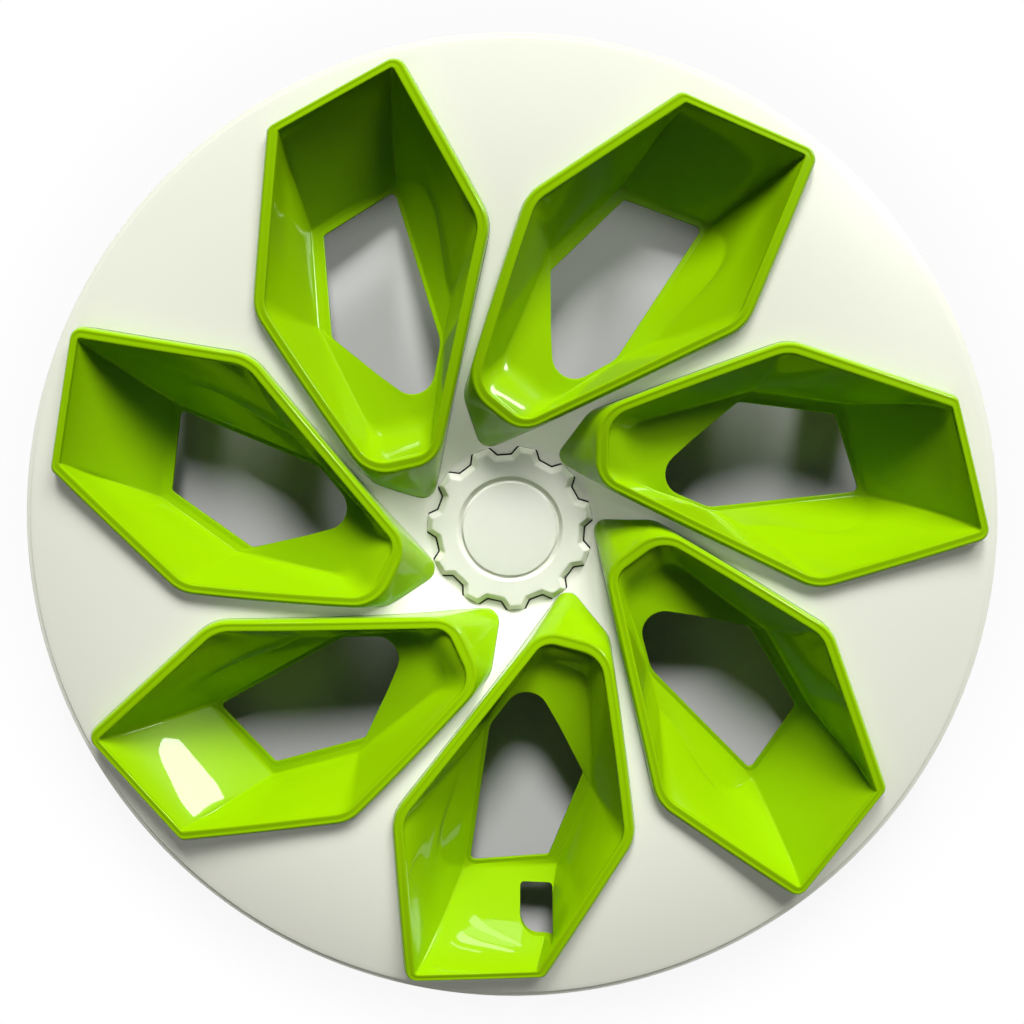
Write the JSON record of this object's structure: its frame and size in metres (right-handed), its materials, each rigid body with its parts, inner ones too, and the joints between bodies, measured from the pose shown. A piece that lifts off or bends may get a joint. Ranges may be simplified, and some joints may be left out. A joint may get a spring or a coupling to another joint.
{
  "type": "wheel cover",
  "caption": "Round dished wheel cover with a fan of proud pocket inserts, a gear-shaped centre cap and a wire ring on clip fingers that snap it into the wheel.",
  "frame": {"origin": "on the wheel's axis, in the plane where the back of the cover's edge rests on the wheel's rim", "axes": "+Z out of the front along the wheel's axis; -Y from the axis towards the pocket with the valve cut-out; +X to the right seen from the front with that pocket at the bottom"},
  "size_m": [0.47, 0.47, 0.0545],
  "materials": {
    "white_plastic": "satin painted white",
    "green_plastic": "high-gloss lime green",
    "cap_plastic": "satin painted white",
    "emblem_plastic": "satin painted white, bare",
    "spring_wire": "bright drawn wire",
    "screw_steel": "zinc plated"
  },
  "bodies": {
    "root": {"face_disc": "white_plastic", "pocket_insert_1": "green_plastic", "pocket_insert_2": "green_plastic", "pocket_insert_3": "green_plastic", "pocket_insert_4": "green_plastic", "pocket_insert_5": "green_plastic", "pocket_insert_6": "green_plastic", "pocket_insert_7": "green_plastic", "centre_cap": "cap_plastic", "emblem_disc": "emblem_plastic", "tension_ring": "spring_wire", "insert_screws": "screw_steel"}
  },
  "joints": []
}
